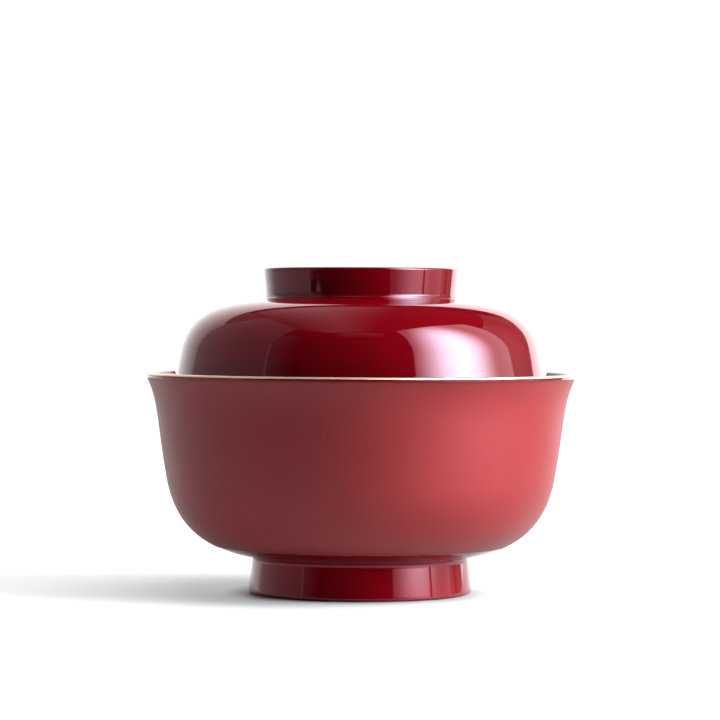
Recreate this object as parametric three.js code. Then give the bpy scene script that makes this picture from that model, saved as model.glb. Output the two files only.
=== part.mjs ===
// A turned and lacquered rice bowl with a loose lid, in millimetres with +Z up.
// The origin is the centre of the foot's base, and every piece is a body of revolution about Z:
// the cup with its inner lacquer coat, gold edge and glued foot, and the lid with its glued grip ring.

import * as THREE from "three";

// Driving dimensions
const RIM_RADIUS = 62.5;
const GOLD_TOP = 63.8; // height of the bowl without its lid
const COAT_TOP = 63.2; // top of the lacquered lip, under the gold edge
const LIP_WIDTH = 1.4;
const GOLD_WIDTH = 0.7; // the gold covers the outer half of the rounded lip
const CUP_FLOOR = 14.2; // height of the inside bottom
const FOOT_SEAT = 10.5; // where the cup's underside meets the foot
const RECESS_CEILING = 8.3; // the cup's underside inside the foot
const LID_LIP = 51.4; // lowest point of the lid, inside the cup
const LID_CROWN = 85.5; // where the lid's top meets the grip ring
const LID_CEILING = 82.0; // inside of the lid
const TOTAL_HEIGHT = 94.2; // top of the grip ring
const COAT_THICKNESS = 0.4;
const GLUE_GAP = 0.05; // between solids that are fixed together
const SPIGOT_PLAY = 0.3; // round the spigots that centre the two glued rings
const TURNS = 48; // facets round the axis, a multiple of four so that the widths are exact

// Outlines in the half plane of radius and height
const at = (radius, height) => new THREE.Vector2(radius, height);
const bezier = (...points) => new THREE.CubicBezierCurve(...points);

const CUP_WAIST = at(56.3, 33);
const CUP_SIDE = bezier(at(RIM_RADIUS, COAT_TOP), at(58.5, 55.2), at(59.4, 50.3), CUP_WAIST);
const CUP_BELLY = bezier(CUP_WAIST, at(53.7, 18.6), at(44.5, 12.5), at(31.3, FOOT_SEAT));

const INSIDE_WAIST = at(52.3, 33.5);
const INSIDE_SIDE = bezier(
  at(RIM_RADIUS - LIP_WIDTH, COAT_TOP),
  at(55.3, 56.8),
  at(54.6, 50),
  INSIDE_WAIST,
);
const INSIDE_BELLY = bezier(INSIDE_WAIST, at(50.1, 19), at(40, CUP_FLOOR + 0.4), at(18, CUP_FLOOR));

const LID_SHOULDER = at(52.4, 71.2);
const LID_SIDE = bezier(at(55, LID_LIP + 0.5), at(54.7, 57.5), at(54.4, 62.7), LID_SHOULDER);
const LID_TOP = bezier(LID_SHOULDER, at(49.9, 81.4), at(41.5, LID_CROWN - 0.1), at(27.8, LID_CROWN));

const LID_INSIDE_SHOULDER = at(49.2, 70.4);
const LID_INSIDE_SIDE = bezier(
  at(53, LID_LIP + 0.5),
  at(51.8, 57.5),
  at(51.2, 62.7),
  LID_INSIDE_SHOULDER,
);
const LID_INSIDE_TOP = bezier(
  LID_INSIDE_SHOULDER,
  at(46.9, 79),
  at(39.5, LID_CEILING - 0.1),
  at(24, LID_CEILING),
);

// The lacquered lip turns over the edge and ends in a small upright bead outside the cup.
const LIP_BEAD_HEIGHT = 0.8;
const LIP_BEAD_BEVEL = 0.2;
const WOOD_START = 0.037; // as a fraction of CUP_SIDE, just under the bead
const LIP_TONGUE_RADIUS = 61.7; // inside of the bead

const SPIGOT_RADIUS = 27.3; // under the cup, inside the foot
const BOSS_RADIUS = 24.6; // on the lid, inside the grip ring
const BOSS_HEIGHT = 0.6;

const SATIN_RED = { color: 0x96262c, roughness: 0.45, metalness: 0 };
const GLOSS_RED = { color: 0x7d0712, roughness: 0.08, metalness: 0 };
const GOLD = { color: 0xd8b088, roughness: 0.35, metalness: 0.8 };

// Points of a curve from one fraction of it to another, in equal steps
function along(curve, steps, from = 0, to = 1) {
  const points = [];
  for (let step = 0; step <= steps; step += 1) {
    points.push(curve.getPoint(from + ((to - from) * step) / steps));
  }
  return points;
}

// Two curves that meet, as one run of points from the rim to the middle
function run(side, sideSteps, belly, bellySteps, from = 0) {
  return [...along(side, sideSteps, from), ...along(belly, bellySteps).slice(1)];
}

// A run moved to its left by a distance, as seen walking along it
function offset(points, distance) {
  return points.map((point, i) => {
    const before = points[Math.max(i - 1, 0)];
    const after = points[Math.min(i + 1, points.length - 1)];
    const ahead = after.clone().sub(before).normalize();
    return at(point.x - ahead.y * distance, point.y + ahead.x * distance);
  });
}

function arc(centre, radiusAcross, radiusUp, fromDegrees, toDegrees, steps) {
  const points = [];
  for (let step = 0; step <= steps; step += 1) {
    const angle = THREE.MathUtils.degToRad(fromDegrees + ((toDegrees - fromDegrees) * step) / steps);
    points.push(at(centre.x + radiusAcross * Math.cos(angle), centre.y + radiusUp * Math.sin(angle)));
  }
  return points;
}

function turned(name, outline, finish) {
  const geometry = new THREE.LatheGeometry(outline, TURNS);
  geometry.rotateX(Math.PI / 2);
  const mesh = new THREE.Mesh(geometry, new THREE.MeshStandardMaterial(finish));
  mesh.name = name;
  return mesh;
}

// The wooden cup: underside with a spigot for the foot, satin outside, and a thin tongue at the lip
function bowlBody() {
  const depth = COAT_THICKNESS + GLUE_GAP;
  const outside = run(CUP_SIDE, 8, CUP_BELLY, 9, WOOD_START).reverse();
  const inside = offset(run(INSIDE_SIDE, 7, INSIDE_BELLY, 8), depth).slice(1);
  const shoulder = outside[outside.length - 1].y;
  const tongue = LIP_TONGUE_RADIUS - GLUE_GAP;
  return turned(
    "bowl_body",
    [
      at(0, RECESS_CEILING),
      at(SPIGOT_RADIUS, RECESS_CEILING),
      at(SPIGOT_RADIUS, FOOT_SEAT),
      ...outside,
      at(tongue, shoulder),
      at(tongue, COAT_TOP - depth),
      at(RIM_RADIUS - LIP_WIDTH + depth / 2, COAT_TOP - depth),
      ...inside,
      at(0, CUP_FLOOR - depth),
    ],
    SATIN_RED,
  );
}

// The gloss coat: the whole inside of the cup, the inner half of the lip and the bead outside it
function innerLacquerCoat() {
  const inside = run(INSIDE_SIDE, 7, INSIDE_BELLY, 8);
  const underside = offset(inside, COAT_THICKNESS).slice(1);
  const underLip = COAT_TOP - COAT_THICKNESS;
  const beadFoot = COAT_TOP - LIP_BEAD_HEIGHT;
  const goldEdge = at(RIM_RADIUS - GOLD_WIDTH - GLUE_GAP, COAT_TOP);
  const crownWidth = LIP_WIDTH - GOLD_WIDTH - GLUE_GAP;
  return turned(
    "inner_lacquer_coat",
    [
      at(0, CUP_FLOOR - COAT_THICKNESS),
      ...underside.reverse(),
      at(RIM_RADIUS - LIP_WIDTH + COAT_THICKNESS / 2, underLip),
      at(LIP_TONGUE_RADIUS, underLip),
      at(LIP_TONGUE_RADIUS, beadFoot),
      at(RIM_RADIUS - LIP_BEAD_BEVEL, beadFoot),
      at(RIM_RADIUS, beadFoot + LIP_BEAD_BEVEL),
      at(RIM_RADIUS, COAT_TOP),
      goldEdge,
      ...arc(goldEdge, crownWidth, GOLD_TOP - COAT_TOP - GLUE_GAP, 90, 180, 3),
      ...inside.slice(1),
      at(0, CUP_FLOOR),
    ],
    GLOSS_RED,
  );
}

// The gold edge: the outer half of the rounded lip
function rimGoldLine() {
  const inner = at(RIM_RADIUS - GOLD_WIDTH, COAT_TOP + GLUE_GAP);
  const round = arc(inner, GOLD_WIDTH, GOLD_TOP - inner.y, 0, 90, 4);
  return turned("rim_gold_line", [...round, inner, round[0].clone()], GOLD);
}

// The foot: widens slightly to its base, with softened edges and a flat ring to stand on
function footRing() {
  const top = FOOT_SEAT - GLUE_GAP;
  const inner = SPIGOT_RADIUS + SPIGOT_PLAY;
  return turned(
    "foot_ring",
    [
      at(28.4, 0),
      at(31.7, 0),
      ...arc(at(31.7, 0.7), 0.7, 0.7, -60, 0, 2),
      ...arc(at(30.9, top - 0.5), 0.5, 0.5, 0, 90, 3),
      at(inner, top),
      at(28, 0.5),
      at(28.4, 0),
    ],
    GLOSS_RED,
  );
}

// The lid: a dome whose lip stands inside the flared mouth of the cup
function lidDome() {
  const middleOfLip = at(54, LID_LIP + 0.5);
  return turned(
    "lid_dome",
    [
      at(0, LID_CEILING),
      ...run(LID_INSIDE_SIDE, 5, LID_INSIDE_TOP, 7).reverse(),
      ...arc(middleOfLip, 1, 0.5, 240, 300, 1),
      ...run(LID_SIDE, 5, LID_TOP, 8),
      at(BOSS_RADIUS, LID_CROWN),
      at(BOSS_RADIUS, LID_CROWN + BOSS_HEIGHT),
      at(0, LID_CROWN + BOSS_HEIGHT),
    ],
    GLOSS_RED,
  );
}

// The grip ring: opens slightly towards its flat top, on which the lid stands when used as a dish
function lidGripRing() {
  const base = LID_CROWN + GLUE_GAP;
  const inner = BOSS_RADIUS + SPIGOT_PLAY;
  return turned(
    "lid_grip_ring",
    [
      at(inner, base),
      at(28.3, base),
      at(27.9, base + 0.5),
      ...arc(at(28, TOTAL_HEIGHT - 0.6), 0.6, 0.6, 0, 90, 3),
      at(25.8, TOTAL_HEIGHT),
      at(25.4, TOTAL_HEIGHT - 0.5),
      at(inner, base),
    ],
    GLOSS_RED,
  );
}

const riceBowl = new THREE.Group();
riceBowl.add(
  bowlBody(),
  innerLacquerCoat(),
  rimGoldLine(),
  footRing(),
  lidDome(),
  lidGripRing(),
);

export default riceBowl;
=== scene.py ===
# A turned and lacquered rice bowl with a loose lid, in metres with +Z up.
# Each CAD node is replaced by a finely turned piece of the same outline, with softened edges,
# small lacquer beads at the glued joints, the slight waviness of hand finishing, and lacquer
# and gold materials. The bowl stands on a pale table beside one large diffused window.

import math

import bpy
from mathutils import Matrix, Vector, noise


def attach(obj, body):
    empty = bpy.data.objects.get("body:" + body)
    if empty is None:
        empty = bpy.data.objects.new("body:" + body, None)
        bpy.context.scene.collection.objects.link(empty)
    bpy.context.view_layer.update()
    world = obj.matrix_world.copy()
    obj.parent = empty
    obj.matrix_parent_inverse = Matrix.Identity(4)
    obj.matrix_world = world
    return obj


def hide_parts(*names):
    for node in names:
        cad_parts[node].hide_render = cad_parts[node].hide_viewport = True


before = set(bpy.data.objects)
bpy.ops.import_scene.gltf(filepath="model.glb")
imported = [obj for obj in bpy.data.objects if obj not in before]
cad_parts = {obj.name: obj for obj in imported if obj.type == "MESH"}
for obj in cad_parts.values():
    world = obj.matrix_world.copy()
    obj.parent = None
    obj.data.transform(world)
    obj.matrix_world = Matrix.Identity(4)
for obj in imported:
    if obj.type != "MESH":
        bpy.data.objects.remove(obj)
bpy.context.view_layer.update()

# ---------------------------------------------------------------- sizes, as in the CAD model

MM = 0.001
RIM_RADIUS = 62.5
GOLD_TOP = 63.8
COAT_TOP = 63.2
LIP_WIDTH = 1.4
GOLD_WIDTH = 0.7
CUP_FLOOR = 14.2
FOOT_SEAT = 10.5
RECESS_CEILING = 8.3
LID_LIP = 51.4
LID_CROWN = 85.5
LID_CEILING = 82.0
TOTAL_HEIGHT = 94.2
COAT_THICKNESS = 0.4
GLUE_GAP = 0.05
SPIGOT_PLAY = 0.3
SPIGOT_RADIUS = 27.3
BOSS_RADIUS = 24.6
BOSS_HEIGHT = 0.6
LIP_BEAD_HEIGHT = 0.8
LIP_BEAD_BEVEL = 0.2
WOOD_START = 0.037
LIP_TONGUE_RADIUS = 61.7

TURNS = 288
SHARP_ANGLE = math.radians(38)

# The waviness left by hand finishing: how far a surface strays, and over what distance
WAVE_HEIGHT = 0.035
WAVE_LENGTH = 17.0
WAVE_BIAS = 0.32  # it strays inwards more than outwards, and so never past the CAD model's box
STILL_HEIGHT = 4.0  # the up-and-down waviness fades this near the faces that it stands on
OTHER_PLACE = Vector((31, 17, 5))  # where the noise is read for the up-and-down waviness


# ---------------------------------------------------------------- outlines, in millimetres

def at(radius, height):
    return Vector((radius, height))


def bezier(knots, steps, start=0.0, end=1.0):
    """Points of a cubic curve from one fraction of it to another."""
    first, leaving, arriving, last = knots
    points = []
    for step in range(steps + 1):
        t = start + (end - start) * step / steps
        s = 1 - t
        points.append(
            s ** 3 * first + 3 * s * s * t * leaving + 3 * s * t * t * arriving + t ** 3 * last
        )
    return points


def arc(centre, across, up, from_degrees, to_degrees, steps):
    """Points of an ellipse with the given half width and half height."""
    points = []
    for step in range(steps + 1):
        angle = math.radians(from_degrees + (to_degrees - from_degrees) * step / steps)
        points.append(centre + at(across * math.cos(angle), up * math.sin(angle)))
    return points


def line(start, end, steps):
    """Points along a straight stretch, both ends among them."""
    return [start.lerp(end, step / steps) for step in range(steps + 1)]


def beside(points, distance):
    """A run of points moved to its left, as seen walking along it."""
    moved = []
    for i, point in enumerate(points):
        ahead = (points[min(i + 1, len(points) - 1)] - points[max(i - 1, 0)]).normalized()
        moved.append(at(point.x - ahead.y * distance, point.y + ahead.x * distance))
    return moved


CUP_WAIST = at(56.3, 33)
CUP_SIDE = (at(RIM_RADIUS, COAT_TOP), at(58.5, 55.2), at(59.4, 50.3), CUP_WAIST)
CUP_BELLY = (CUP_WAIST, at(53.7, 18.6), at(44.5, 12.5), at(31.3, FOOT_SEAT))
INSIDE_WAIST = at(52.3, 33.5)
INSIDE_SIDE = (at(RIM_RADIUS - LIP_WIDTH, COAT_TOP), at(55.3, 56.8), at(54.6, 50), INSIDE_WAIST)
INSIDE_BELLY = (INSIDE_WAIST, at(50.1, 19), at(40, CUP_FLOOR + 0.4), at(18, CUP_FLOOR))
LID_SHOULDER = at(52.4, 71.2)
LID_SIDE = (at(55, LID_LIP + 0.5), at(54.7, 57.5), at(54.4, 62.7), LID_SHOULDER)
LID_TOP = (LID_SHOULDER, at(49.9, 81.4), at(41.5, LID_CROWN - 0.1), at(27.8, LID_CROWN))
LID_INSIDE_SHOULDER = at(49.2, 70.4)
LID_INSIDE_SIDE = (at(53, LID_LIP + 0.5), at(51.8, 57.5), at(51.2, 62.7), LID_INSIDE_SHOULDER)
LID_INSIDE_TOP = (
    LID_INSIDE_SHOULDER,
    at(46.9, 79),
    at(39.5, LID_CEILING - 0.1),
    at(24, LID_CEILING),
)


# ---------------------------------------------------------------- meshes

def waver(point):
    """Where hand finishing leaves a point of the surface. Neighbouring pieces stray together."""
    calm = min(1, point.z / STILL_HEIGHT, (TOTAL_HEIGHT - point.z) / STILL_HEIGHT)
    outward = Vector((point.x, point.y, 0)).normalized()
    place = point / WAVE_LENGTH
    sideways = (noise.noise(place) - WAVE_BIAS) * WAVE_HEIGHT
    upward = noise.noise(place + OTHER_PLACE) * WAVE_HEIGHT * max(calm, 0)
    return point + outward * sideways + Vector((0, 0, upward))


def turned_mesh(name, outline):
    """A closed body of revolution.

    The outline runs anticlockwise, and may start or end on the axis."""
    vertices, rings = [], []
    for point in outline:
        count = TURNS if point.x > 0 else 1
        rings.append(range(len(vertices), len(vertices) + count))
        for turn in range(count):
            angle = 2 * math.pi * turn / TURNS
            place = Vector((point.x * math.cos(angle), point.x * math.sin(angle), point.y))
            vertices.append(waver(place) * MM)
    pairs = list(zip(rings, rings[1:]))
    if len(rings[0]) > 1:
        pairs.append((rings[-1], rings[0]))
    faces = []
    for lower, upper in pairs:
        for turn in range(TURNS):
            after = (turn + 1) % TURNS
            corners = [
                lower[turn % len(lower)],
                lower[after % len(lower)],
                upper[after % len(upper)],
                upper[turn % len(upper)],
            ]
            faces.append(list(dict.fromkeys(corners)))
    mesh = bpy.data.meshes.new(name)
    mesh.from_pydata(vertices, [], faces)
    mesh.shade_smooth()
    mesh.set_sharp_from_angle(angle=SHARP_ANGLE)
    mesh.update()
    return mesh


def turned_piece(name, outline, material, node, body):
    piece = bpy.data.objects.new(name, turned_mesh(name, outline))
    bpy.context.scene.collection.objects.link(piece)
    piece.data.materials.append(material)
    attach(piece, body)
    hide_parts(node)


# ---------------------------------------------------------------- nodes of a material

class Graph:
    """A node tree, with short calls that add a node and link it up."""

    def __init__(self, tree):
        self.tree = tree
        self.tree.nodes.clear()

    def add(self, kind, inputs=None, **settings):
        node = self.tree.nodes.new(kind)
        for setting, value in settings.items():
            setattr(node, setting, value)
        for socket, value in (inputs or {}).items():
            if isinstance(value, bpy.types.NodeSocket):
                self.tree.links.new(value, node.inputs[socket])
            else:
                node.inputs[socket].default_value = value
        return node

    def place(self):
        """Where a point lies in the object's own space."""
        return self.add("ShaderNodeTexCoord").outputs["Object"]

    def maths(self, operation, first, second=0.0):
        return self.add("ShaderNodeMath", {0: first, 1: second}, operation=operation).outputs[0]

    def remap(self, value, from_range, to_range, smooth=True):
        node = self.add(
            "ShaderNodeMapRange",
            {"Value": value, 1: from_range[0], 2: from_range[1], 3: to_range[0], 4: to_range[1]},
            interpolation_type="SMOOTHSTEP" if smooth else "LINEAR",
        )
        return node.outputs["Result"]

    def noise(self, vector, feature, detail=2.0):
        """Soft random variation, with features of about the given size in metres."""
        inputs = {"Vector": vector, "Scale": 1 / feature, "Detail": detail}
        return self.add("ShaderNodeTexNoise", inputs).outputs["Fac"]

    def mix(self, factor, first, second):
        node = self.add("ShaderNodeMix", {0: factor, 6: first, 7: second}, data_type="RGBA")
        return node.outputs[2]

    def radius_and_height(self, vector):
        parts = self.add("ShaderNodeSeparateXYZ", {0: vector})
        level = self.add("ShaderNodeCombineXYZ", {0: parts.outputs[0], 1: parts.outputs[1]})
        radius = self.add("ShaderNodeVectorMath", {0: level.outputs[0]}, operation="LENGTH")
        return radius.outputs["Value"], parts.outputs[2]

    def turning_marks(self, vector, feature):
        """Faint rings left by the lathe: they vary along the outline and not round the axis."""
        radius, height = self.radius_and_height(vector)
        along = self.add("ShaderNodeCombineXYZ", {0: radius, 1: height})
        return self.noise(along.outputs[0], feature, detail=3.0)

    def bump(self, height, distance, normal=None):
        inputs = {"Height": height, "Distance": distance, "Strength": 1.0}
        if normal is not None:
            inputs["Normal"] = normal
        return self.add("ShaderNodeBump", inputs).outputs["Normal"]


def surface_graph(name):
    material = bpy.data.materials.new(name)
    material.use_nodes = True
    return material, Graph(material.node_tree)


def finish_surface(graph, inputs):
    shader = graph.add("ShaderNodeBsdfPrincipled", inputs)
    graph.add("ShaderNodeOutputMaterial", {"Surface": shader.outputs[0]})


def shade(colour, factor):
    return tuple(channel * factor for channel in colour) + (1.0,)


def varied(graph, pattern, colour, tones):
    """A colour that a pattern takes from its darkest tone to its lightest."""
    darkest, lightest = tones
    return graph.mix(pattern, shade(colour, darkest), shade(colour, lightest))


# ---------------------------------------------------------------- lacquer and gold

GLOSS_RED = (0.0435, 0.0001, 0.0012)
SATIN_RED = (0.07, 0.0006, 0.0014)
# The colour of the darkened edges: painted shade along edges and joints, with some wear
SHADE_AND_WEAR_RED = (0.028, 0.0012, 0.0012)
GOLD = (0.82, 0.56, 0.4)
BOWL_PAINTED_LIGHT = 1.3  # painted light: the same gloss lacquer is made lighter on the foot and inner coat than on the lid

# The darkest and lightest tones of each finish, as factors of its colour
GLOSS_TONES = (0.86, 1.14)
SATIN_TONES = (0.84, 1.16)
GOLD_TONES = (0.8, 1.15)

GLOSS_ROUGHNESS = (0.035, 0.07)
SATIN_ROUGHNESS = (0.43, 0.5)
GOLD_ROUGHNESS = (0.36, 0.52)
POLISH_ROUGHNESS = 0.02
SATIN_SPECULAR = 0.5
MIRROR_TINT = (1.0, 0.5, 0.62, 1.0)  # the red lacquer warms what it mirrors face on
SATIN_TINT = (1.0, 0.47, 0.49, 1.0)

# A ring of the cup round the foot is polished, and turns satin between these radii and heights
POLISHED_RADIUS = (0.042, 0.0432)
POLISHED_HEIGHT = (0.02, 0.022)

# Gloss lacquer: the sizes of its features, and how far they stand out
GLOSS_CLOUDS = 14 * MM
GLOSS_SMEARS = 22 * MM
GLOSS_MARKS, GLOSS_MARK_RELIEF = 0.9 * MM, 0.0006 * MM
RIPPLES, RIPPLE_RELIEF = 5 * MM, 0.012 * MM
NIB_SPACING, NIB_RELIEF = 5.5 * MM, 0.012 * MM  # specks of dust under the lacquer
NIB_SIZE = 0.035  # in units of their spacing
FRAYING, FRAYED_BY = 1.6 * MM, 0.12 * MM  # the uneven outline of the edges darkened by painted shade and some wear
MOST_SHADE_AND_WEAR = 0.75  # how much of the edge colour, painted shade and some wear, shows along the edge itself

# Satin lacquer, as above
SATIN_CLOUDS, SATIN_CLOUD_SHARE = 20 * MM, 0.7
SATIN_MARKS, SATIN_MARK_SHARE, SATIN_MARK_RELIEF = 0.7 * MM, 0.3, 0.002 * MM
SATIN_GRAIN, SATIN_GRAIN_RELIEF = 0.45 * MM, 0.004 * MM

# Gold powder, as above, with thin places where some of the red shows
GOLD_GRAINS, GOLD_GRAIN_RELIEF = 0.12 * MM, 0.02 * MM
GOLD_PATCHES = 3.5 * MM
THIN_GOLD = (1.18, 1.34)
MOST_RED = 0.6


def gloss_lacquer(name, edges, painted_light=1.0):
    """Deep red lacquer polished to a mirror, darker along the given edges in painted shade and
    some wear.

    An edge is its height and how far the darkening reaches from it."""
    material, graph = surface_graph(name)
    place = graph.place()
    _, height = graph.radius_and_height(place)
    clouds = graph.noise(place, GLOSS_CLOUDS)
    marks = graph.turning_marks(place, GLOSS_MARKS)
    # painted_light makes the whole colour lighter: painted light
    colour = varied(graph, clouds, GLOSS_RED, [factor * painted_light for factor in GLOSS_TONES])
    frayed = graph.remap(graph.noise(place, FRAYING, 4.0), (0.3, 0.7), (-FRAYED_BY, FRAYED_BY))
    # Each edge is darkened: painted shade, with some wear
    for edge, reach in edges:
        away = graph.maths("ABSOLUTE", graph.maths("SUBTRACT", height, edge))
        shade_and_wear = graph.remap(graph.maths("ADD", away, frayed), (0.0, reach), (MOST_SHADE_AND_WEAR, 0.0))
        colour = graph.mix(shade_and_wear, colour, shade(SHADE_AND_WEAR_RED, 1.0))
    smears = graph.noise(place, GLOSS_SMEARS, 4.0)
    roughness = graph.remap(graph.maths("ADD", smears, marks), (0.75, 1.3), GLOSS_ROUGHNESS)
    nibs = graph.add("ShaderNodeTexVoronoi", {"Vector": place, "Scale": 1 / NIB_SPACING})
    nib = graph.remap(nibs.outputs["Distance"], (0.0, NIB_SIZE), (1.0, 0.0))
    relief = graph.bump(nib, NIB_RELIEF)
    relief = graph.bump(graph.noise(place, RIPPLES, 1.0), RIPPLE_RELIEF, relief)
    relief = graph.bump(marks, GLOSS_MARK_RELIEF, relief)
    finish_surface(
        graph,
        {
            "Base Color": colour,
            "Roughness": roughness,
            "Specular Tint": MIRROR_TINT,
            "Normal": relief,
        },
    )
    return material


def satin_lacquer():
    """Rubbed red lacquer with a soft haze, polished where the foot joins it."""
    material, graph = surface_graph("satin_red_lacquer")
    place = graph.place()
    radius, height = graph.radius_and_height(place)
    clouds = graph.noise(place, SATIN_CLOUDS, 3.0)
    marks = graph.turning_marks(place, SATIN_MARKS)
    grain = graph.noise(place, SATIN_GRAIN, 3.0)
    cloudy = graph.maths("MULTIPLY", clouds, SATIN_CLOUD_SHARE)
    marked = graph.maths("MULTIPLY", marks, SATIN_MARK_SHARE)
    colour = varied(graph, graph.maths("ADD", cloudy, marked), SATIN_RED, SATIN_TONES)
    satin = graph.remap(graph.maths("ADD", grain, clouds), (0.7, 1.3), SATIN_ROUGHNESS)
    near = graph.remap(radius, POLISHED_RADIUS, (1.0, 0.0))
    low = graph.remap(height, POLISHED_HEIGHT, (1.0, 0.0))
    polish = graph.maths("MULTIPLY", near, low)
    roughness = graph.add(
        "ShaderNodeMix", {0: polish, 2: satin, 3: POLISH_ROUGHNESS}, data_type="FLOAT"
    )
    colour = graph.mix(polish, colour, shade(GLOSS_RED, 1.0))
    rough = graph.maths("SUBTRACT", 1.0, polish)
    relief = graph.bump(graph.maths("MULTIPLY", grain, rough), SATIN_GRAIN_RELIEF)
    relief = graph.bump(graph.maths("MULTIPLY", marks, rough), SATIN_MARK_RELIEF, relief)
    finish_surface(
        graph,
        {
            "Base Color": colour,
            "Roughness": roughness.outputs[0],
            "Specular IOR Level": SATIN_SPECULAR,
            "Specular Tint": SATIN_TINT,
            "Normal": relief,
        },
    )
    return material


def gold_powder():
    """Fine gold powder set in lacquer, with the red showing between the grains here and there."""
    material, graph = surface_graph("gold_powder_edge")
    place = graph.place()
    grains = graph.noise(place, GOLD_GRAINS, 3.0)
    patches = graph.noise(place, GOLD_PATCHES, 4.0)
    colour = varied(graph, grains, GOLD, GOLD_TONES)
    thin = graph.remap(graph.maths("ADD", patches, grains), THIN_GOLD, (0.0, MOST_RED))
    colour = graph.mix(thin, colour, shade(SATIN_RED, 1.0))
    metal = graph.remap(thin, (0.0, MOST_RED), (1.0, 0.2))
    roughness = graph.remap(grains, (0.3, 0.7), GOLD_ROUGHNESS)
    relief = graph.bump(grains, GOLD_GRAIN_RELIEF)
    finish_surface(
        graph,
        {"Base Color": colour, "Metallic": metal, "Roughness": roughness, "Normal": relief},
    )
    return material


# ---------------------------------------------------------------- the pieces of the bowl

def cup_outline():
    depth = COAT_THICKNESS + GLUE_GAP
    outside = bezier(CUP_SIDE, 60, WOOD_START) + bezier(CUP_BELLY, 80)[1:]
    inside = bezier(INSIDE_SIDE, 50) + bezier(INSIDE_BELLY, 60)[1:]
    shoulder = outside[0].y
    tongue = LIP_TONGUE_RADIUS - GLUE_GAP
    tongue_top = COAT_TOP - depth
    return [
        *line(at(0, RECESS_CEILING), at(SPIGOT_RADIUS - 0.15, RECESS_CEILING), 24),
        at(SPIGOT_RADIUS, RECESS_CEILING + 0.15),
        at(SPIGOT_RADIUS, FOOT_SEAT),
        *reversed(outside),
        at(tongue, shoulder),
        at(tongue, tongue_top),
        at(RIM_RADIUS - LIP_WIDTH + depth / 2, tongue_top),
        *beside(inside, depth)[1:],
        at(0, CUP_FLOOR - depth),
    ]


def coat_outline():
    inside = bezier(INSIDE_SIDE, 50) + bezier(INSIDE_BELLY, 60)[1:]
    under_lip = COAT_TOP - COAT_THICKNESS
    bead_foot = COAT_TOP - LIP_BEAD_HEIGHT
    bevel = at(RIM_RADIUS - LIP_BEAD_BEVEL, bead_foot + LIP_BEAD_BEVEL)
    gold_edge = at(RIM_RADIUS - GOLD_WIDTH - GLUE_GAP, COAT_TOP)
    crown_width = LIP_WIDTH - GOLD_WIDTH - GLUE_GAP
    return [
        at(0, CUP_FLOOR - COAT_THICKNESS),
        *reversed(beside(inside, COAT_THICKNESS)[1:]),
        at(RIM_RADIUS - LIP_WIDTH + COAT_THICKNESS / 2, under_lip),
        at(LIP_TONGUE_RADIUS, under_lip),
        at(LIP_TONGUE_RADIUS, bead_foot),
        *arc(bevel, LIP_BEAD_BEVEL, LIP_BEAD_BEVEL, -90, 0, 4),
        at(RIM_RADIUS, COAT_TOP),
        gold_edge,
        *arc(gold_edge, crown_width, GOLD_TOP - COAT_TOP - GLUE_GAP, 90, 180, 8),
        *inside[1:],
        *line(inside[-1], at(0, CUP_FLOOR), 12)[1:],
    ]


def gold_outline():
    inner = at(RIM_RADIUS - GOLD_WIDTH, COAT_TOP + GLUE_GAP)
    return [*arc(inner, GOLD_WIDTH, GOLD_TOP - inner.y, 0, 90, 12), inner]


def foot_outline():
    top = FOOT_SEAT - GLUE_GAP
    inner = SPIGOT_RADIUS + SPIGOT_PLAY
    bead = RECESS_CEILING - GLUE_GAP
    base_edge = arc(at(31.7, 0.7), 0.7, 0.7, -90, 0, 10)
    fillet = [
        at(31.44, top - 0.6),
        at(31.48, top - 0.3),
        at(31.6, top - 0.05),
        at(31.85, top + 0.12),
    ]
    return [
        at(28.5, 0),
        *base_edge,
        *line(base_edge[-1], fillet[0], 14)[1:-1],
        *fillet,
        at(inner, top),
        at(inner, bead),
        at(inner - 0.7, bead),
        *reversed(arc(at(inner - 0.7, bead - 0.85), 0.72, 0.8, 0, 90, 6)),
        *line(at(27.68, bead - 1.2), at(27.98, 0.6), 10),
        at(28.15, 0.15),
    ]


def lid_outline():
    middle_of_lip = at(54, LID_LIP + 0.5)
    inside = bezier(LID_INSIDE_SIDE, 36) + bezier(LID_INSIDE_TOP, 60)[1:]
    outside = bezier(LID_SIDE, 36) + bezier(LID_TOP, 70)[1:]
    boss_top = LID_CROWN + BOSS_HEIGHT
    return [
        *line(at(0, LID_CEILING), inside[-1], 16)[:-1],
        *reversed(inside),
        *arc(middle_of_lip, 1, 0.5, 195, 345, 10),
        *outside,
        at(BOSS_RADIUS, LID_CROWN),
        at(BOSS_RADIUS, boss_top - 0.1),
        *line(at(BOSS_RADIUS - 0.1, boss_top), at(0, boss_top), 18),
    ]


def grip_outline():
    base = LID_CROWN + GLUE_GAP
    inner = BOSS_RADIUS + SPIGOT_PLAY
    bead = LID_CROWN + BOSS_HEIGHT + GLUE_GAP
    flare = bezier(
        (at(28.3, base), at(28.27, base + 0.35), at(27.93, base + 0.4), at(27.96, base + 1.2)), 10
    )
    edge = arc(at(28, TOTAL_HEIGHT - 0.6), 0.6, 0.6, 0, 90, 8)
    lip = arc(at(25.8, TOTAL_HEIGHT - 0.4), 0.4, 0.4, 90, 180, 5)
    return [
        at(inner, base),
        *flare,
        *line(flare[-1], edge[0], 12)[1:-1],
        *edge,
        *lip,
        *line(lip[-1], at(inner + 0.05, bead + 0.8), 10)[1:],
        at(inner - 0.12, bead + 0.3),
        at(inner - 0.55, bead + 0.08),
        at(inner - 0.9, bead),
        at(inner, bead),
    ]


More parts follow.
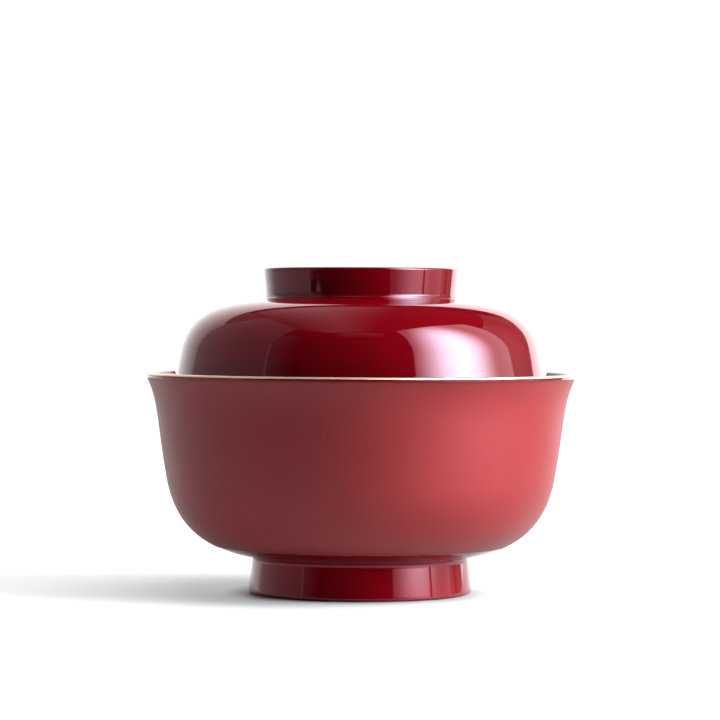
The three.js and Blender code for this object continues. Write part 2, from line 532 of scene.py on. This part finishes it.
def make_bowl():
    satin = satin_lacquer()
    # Edges darkened with painted shade and some wear, and how far the darkening reaches
    bowl_edges = [(0.0, 0.7 * MM), (COAT_TOP * MM, 0.5 * MM)]
    bowl_gloss = gloss_lacquer("gloss_red_lacquer_bowl_painted_light", bowl_edges, BOWL_PAINTED_LIGHT)
    lid_edges = [
        (TOTAL_HEIGHT * MM, 0.6 * MM),
        (LID_CROWN * MM + GLUE_GAP * MM, 0.35 * MM),
        (LID_LIP * MM, 0.8 * MM),
    ]
    lid_gloss = gloss_lacquer("gloss_red_lacquer_lid", lid_edges)
    gold = gold_powder()
    turned_piece("cup_turned_wood", cup_outline(), satin, "bowl_body", "bowl")
    turned_piece(
        "inner_coat", coat_outline(), bowl_gloss, "inner_lacquer_coat", "bowl"
    )
    turned_piece("gold_rim_line", gold_outline(), gold, "rim_gold_line", "bowl")
    turned_piece("foot", foot_outline(), bowl_gloss, "foot_ring", "bowl")
    turned_piece("lid_shell", lid_outline(), lid_gloss, "lid_dome", "lid")
    turned_piece("lid_grip", grip_outline(), lid_gloss, "lid_grip_ring", "lid")


# ---------------------------------------------------------------- the studio

ROOM = 1.7  # how far the window, walls and backdrop stand from the bowl
RIGHT_WALL_DISTANCE = 1.6 * ROOM
POST_DISTANCE = 0.97 * ROOM  # just inside the window
CEILING_HEIGHT = 1.85 * ROOM

WHITE = (1.0, 1.0, 1.0)
DAYLIGHT = (0.66, 1.0, 1.05)
TURNING_GLOW = (6.0, 18.0)  # the strength where the window begins to turn cool, and where it has
KEY_GLOW = 51.0
OVERHEAD_GLOW = 11.0
LEFT_FILL_GLOW = 1.7
POST_GLOW = 0.3
WALL_EDGE_GLOW = 1.1
CORNER_GLOW = 0.28

# The window's hot spot and the strip under its sill. Places are in units of ROOM, in the window.
WINDOW_PEAK, WINDOW_EDGE, WINDOW_FOOT = 42.0, 1.8, 3.0
SPOT_CENTRE = (0.05, 0.45)
SPOT_REACH = (0.7, 1.9)
SPOT_FALL = 1.5
SILL = (0.07, 0.26)
SILL_DIMMING = 0.05
FOOT_RISE, FOOT_START = (-0.45, 0.12), 0.15
FOOT_FALL, FOOT_END = (0.2, 0.6), 0.55

TABLE_FRONT, TABLE_BACK, TABLE_SIDE = -0.36, 1.65, 0.45
TABLE_TONES = ((0.19, 0.19, 0.192, 1), (0.21, 0.21, 0.212, 1))
TABLE_ROUGHNESS = 0.6
TABLE_MOTTLE = 0.05
TABLE_GRAIN, TABLE_RELIEF = 0.6 * MM, 0.01 * MM
TABLE_GLOW = 0.22
TABLE_BOUNCE = 1.7  # as above, for the light that the table throws on the bowl
PAINTED_CONTACT_SHADOW = (0.0315, 0.041)  # both fade to nothing here, from outside in to the foot's edge: a painted contact shadow round the foot

BACKGROUND = 1.05  # what the camera sees behind the table
DIM_ROOM = 0.03  # what everything else gets where there is no sheet


def stage_object(name, mesh, material):
    thing = bpy.data.objects.new(name, mesh)
    bpy.context.scene.collection.objects.link(thing)
    mesh.materials.append(material)
    return thing


def flat_mesh(name, corners):
    mesh = bpy.data.meshes.new(name)
    mesh.from_pydata(corners, [], [list(range(len(corners)))])
    return mesh


def glowing(name, glow, brightest):
    """A light-giving material. glow(graph, across, up) returns its strength over the sheet.

    It is white, and turns to another colour where it is brightest."""
    material, graph = surface_graph(name)
    parts = graph.add("ShaderNodeSeparateXYZ", {0: graph.place()})
    strength = glow(graph, parts.outputs[0], parts.outputs[1])
    turn = graph.remap(strength, TURNING_GLOW, (0.0, 1.0), smooth=False)
    colour = graph.mix(turn, shade(WHITE, 1.0), shade(brightest, 1.0))
    light = graph.add("ShaderNodeEmission", {"Color": colour, "Strength": strength})
    graph.add("ShaderNodeOutputMaterial", {"Surface": light.outputs[0]})
    return material


def even(strength):
    """A glow of the same strength all over a sheet."""
    return lambda graph, across, up: strength


def fading_across(places, strengths, unit=ROOM, smooth=True):
    """A glow that changes from side to side, between two places in the given unit."""
    start, end = places
    return lambda graph, across, up: graph.remap(
        across, (start * unit, end * unit), strengths, smooth
    )


def fading_up(places, strengths):
    """A glow that changes with the height, between two places in units of ROOM."""
    start, end = places
    return lambda graph, across, up: graph.remap(up, (start * ROOM, end * ROOM), strengths)


def place_sheet(name, corners, placement, glow, lights=True, mirrored=True, brightest=WHITE):
    """A flat lamp that the camera does not see.

    It lights what is matt, is mirrored in what is glossy, or both."""
    thing = stage_object(name, flat_mesh(name, corners), glowing(name + "_light", glow, brightest))
    thing.matrix_world = placement
    thing.visible_camera = False
    thing.visible_diffuse = lights
    thing.visible_glossy = mirrored
    thing.visible_shadow = False


def upright_sheet(name, azimuth, outline, glow, distance=ROOM, **role):
    """A sheet that faces the bowl. Its outline is in units of its distance."""
    corners = [Vector((across * distance, up * distance, 0)) for across, up in outline]
    turn = math.radians(azimuth)
    out = Vector((math.sin(turn), -math.cos(turn), 0))
    along = Vector((math.cos(turn), math.sin(turn), 0))
    facing = Matrix((along, (0, 0, 1), out)).transposed().to_4x4()
    place_sheet(name, corners, Matrix.Translation(out * distance) @ facing, glow, **role)


def level_sheet(name, outline, glow, **role):
    """A sheet overhead. Its outline is in units of its height."""
    corners = [(x * CEILING_HEIGHT, y * CEILING_HEIGHT, 0) for x, y in outline]
    place_sheet(name, corners, Matrix.Translation((0, 0, CEILING_HEIGHT)), glow, **role)


def tangent(degrees):
    return math.tan(math.radians(degrees))


def panel(name, azimuth, span, heights, glow, **settings):
    """An upright rectangle between two azimuths, as seen from the bowl, and two heights."""
    low, high = (tangent(side - azimuth) for side in span)
    bottom, top = heights
    outline = [(low, bottom), (high, bottom), (high, top), (low, top)]
    upright_sheet(name, azimuth, outline, glow, **settings)


def window_glow(graph, across, up):
    """A hot spot behind the curtain that fades to its sides, its top and the sill."""
    def away(value, axis):
        moved = graph.maths("SUBTRACT", value, SPOT_CENTRE[axis] * ROOM)
        share = graph.maths("DIVIDE", moved, SPOT_REACH[axis] * ROOM)
        return graph.maths("POWER", share, 2.0)

    def along(places):
        return tuple(place * ROOM for place in places)

    squares = graph.maths("ADD", away(across, 0), away(up, 1))
    nearness = graph.maths("SUBTRACT", 1.0, graph.maths("SQRT", squares))
    spot = graph.maths("POWER", graph.remap(nearness, (0.0, 1.0), (0.0, 1.0)), SPOT_FALL)
    spot = graph.remap(spot, (0.0, 1.0), (WINDOW_EDGE, WINDOW_PEAK), smooth=False)
    sill = graph.remap(up, along(SILL), (SILL_DIMMING, 1.0), smooth=False)
    foot = graph.remap(across, along(FOOT_RISE), (FOOT_START * WINDOW_FOOT, WINDOW_FOOT))
    foot = graph.maths("MULTIPLY", foot, graph.remap(across, along(FOOT_FALL), (1.0, FOOT_END)))
    return graph.maths("ADD", graph.maths("MULTIPLY", spot, sill), foot)


def make_window():
    """The window as lacquer mirrors it, its two posts, and the soft light that it throws."""
    panel(
        "window", 62, (34, 109), (-0.35, 1.9), window_glow, lights=False, brightest=DAYLIGHT
    )
    panel("key", 77, (58, 96), (0.0, 1.05), even(KEY_GLOW), mirrored=False)
    post = {"heights": (-0.3, 0.13), "glow": even(POST_GLOW), "distance": POST_DISTANCE}
    for name, left, right in (("near_post", 77.1, 79.9), ("far_post", 114.5, 121)):
        panel(name, (left + right) / 2, (left, right), lights=False, **post)


def make_walls():
    """The walls and openings of the room, and the soft light from the left."""
    panel(
        "right_wall",
        130,
        (109.5, 150),
        (-0.3, 0.95),
        fading_across((-0.38, 0.1), (0.85, 0.28), unit=RIGHT_WALL_DISTANCE),
        distance=RIGHT_WALL_DISTANCE,
    )
    panel("left_wall", -95, (-127, -62), (-0.35, 1.75), fading_up((-0.1, 0.1), (0.9, 0.55)))
    panel("left_fill", -80, (-120, -45), (0.0, 1.2), even(LEFT_FILL_GLOW), mirrored=False)
    panel("doorway", -52, (-61.5, -38), (-0.1, 1.0), fading_across((-0.2, 0.24), (0.34, 0.0)))
    panel("wall_edge", -61.5, (-62, -61), (0.0, 0.55), even(WALL_EDGE_GLOW))
    panel("front_patch", 0, (-18, 19), (1.05, 1.5), fading_up((1.05, 1.5), (0.05, 0.55)))
    outline = [
        (-1.07, -0.1),
        (1.35, -0.1),
        (1.35, 1.18),
        (-0.1, 0.86),
        (-0.36, 0.745),
        (-0.75, 0.557),
        (-1.07, 0.2),
    ]
    backdrop = fading_across((-0.9, 1.3), (3.7, 0.95), smooth=False)
    upright_sheet("backdrop", 180, outline, backdrop, lights=False)


def ceiling_glow(graph, across, up):
    """A pale glow that dims towards the window, and less so towards the left wall."""
    by_window = fading_across((-0.2, 0.16), (0.8, 0.06), unit=CEILING_HEIGHT)
    by_wall = fading_across((-0.6, -0.12), (0.3, 1.0), unit=CEILING_HEIGHT)
    return graph.maths("MULTIPLY", by_window(graph, across, up), by_wall(graph, across, up))


def make_ceiling():
    """The ceiling as lacquer mirrors it, and the soft light from above."""
    outline = [
        (-0.5, 0.9),
        (-0.55, 0.35),
        (-0.68, -0.27),
        (-0.33, -0.62),
        (0.3, -0.64),
        (0.9, -0.3),
        (0.9, 0.9),
    ]
    level_sheet("ceiling", outline, ceiling_glow, lights=False)
    outline = [(-1.3, 0.2), (-0.57, 0.2), (-0.52, 0.9), (-0.52, 1.3), (-1.3, 1.3)]
    level_sheet("ceiling_corner", outline, even(CORNER_GLOW), lights=False)
    outline = [(-0.2, -0.5), (0.8, -0.5), (0.8, 0.5), (-0.2, 0.5)]
    level_sheet("overhead", outline, even(OVERHEAD_GLOW), mirrored=False)


def make_table():
    """A smooth pale table top with a weak glow, which fades round the foot into a painted contact
    shadow.
    """
    material, graph = surface_graph("pale_table")
    place = graph.place()
    colour = graph.mix(graph.noise(place, TABLE_MOTTLE, 4.0), *TABLE_TONES)
    relief = graph.bump(graph.noise(place, TABLE_GRAIN, 2.0), TABLE_RELIEF)
    lighting = graph.add("ShaderNodeLightPath").outputs["Is Diffuse Ray"]
    strength = graph.remap(lighting, (0.0, 1.0), (TABLE_GLOW, TABLE_BOUNCE), smooth=False)
    radius, _ = graph.radius_and_height(place)
    # the glow fades out round the foot: a painted contact shadow
    strength = graph.maths("MULTIPLY", strength, graph.remap(radius, PAINTED_CONTACT_SHADOW, (0.0, 1.0)))
    finish_surface(
        graph,
        {
            "Base Color": colour,
            "Roughness": TABLE_ROUGHNESS,
            "Normal": relief,
            "Emission Color": shade(WHITE, 1.0),
            "Emission Strength": strength,
        },
    )
    corners = [
        (-TABLE_SIDE, TABLE_FRONT, 0),
        (TABLE_SIDE, TABLE_FRONT, 0),
        (TABLE_SIDE, TABLE_BACK, 0),
        (-TABLE_SIDE, TABLE_BACK, 0),
    ]
    stage_object("table", flat_mesh("table", corners), material)


def make_world():
    """White behind the table where the camera looks, and a dim room for everything else."""
    world = bpy.data.worlds.new("room")
    world.use_nodes = True
    bpy.context.scene.world = world
    graph = Graph(world.node_tree)
    seen = graph.add("ShaderNodeLightPath").outputs["Is Camera Ray"]
    colour = shade(WHITE, 1.0)
    white = graph.add("ShaderNodeBackground", {"Color": colour, "Strength": BACKGROUND})
    dim = graph.add("ShaderNodeBackground", {"Color": colour, "Strength": DIM_ROOM})
    both = graph.add("ShaderNodeMixShader", {0: seen, 1: dim.outputs[0], 2: white.outputs[0]})
    graph.add("ShaderNodeOutputWorld", {"Surface": both.outputs[0]})


# ---------------------------------------------------------------- the camera

CAMERA_DISTANCE = 0.91
CAMERA_HEIGHT = 0.08183
CAMERA_SIDE = -0.0003
CAMERA_PITCH = 0.897  # degrees down
CAMERA_ROLL = 0.28
LENS = 156.5  # millimetres
SENSOR = 36.0
CLIP_START = 0.01


def make_camera():
    data = bpy.data.cameras.new("camera")
    data.lens = LENS
    data.sensor_width = SENSOR
    data.clip_start = CLIP_START
    camera = bpy.data.objects.new("camera", data)
    bpy.context.scene.collection.objects.link(camera)
    camera.location = (CAMERA_SIDE, -CAMERA_DISTANCE, CAMERA_HEIGHT)
    pitch = Matrix.Rotation(math.radians(90 - CAMERA_PITCH), 4, "X")
    roll = Matrix.Rotation(math.radians(CAMERA_ROLL), 4, "Z")
    camera.rotation_euler = (pitch @ roll).to_euler()
    bpy.context.scene.camera = camera


make_camera()
make_bowl()
make_window()
make_walls()
make_ceiling()
make_table()
make_world()
bpy.context.scene.view_settings.view_transform = "Standard"
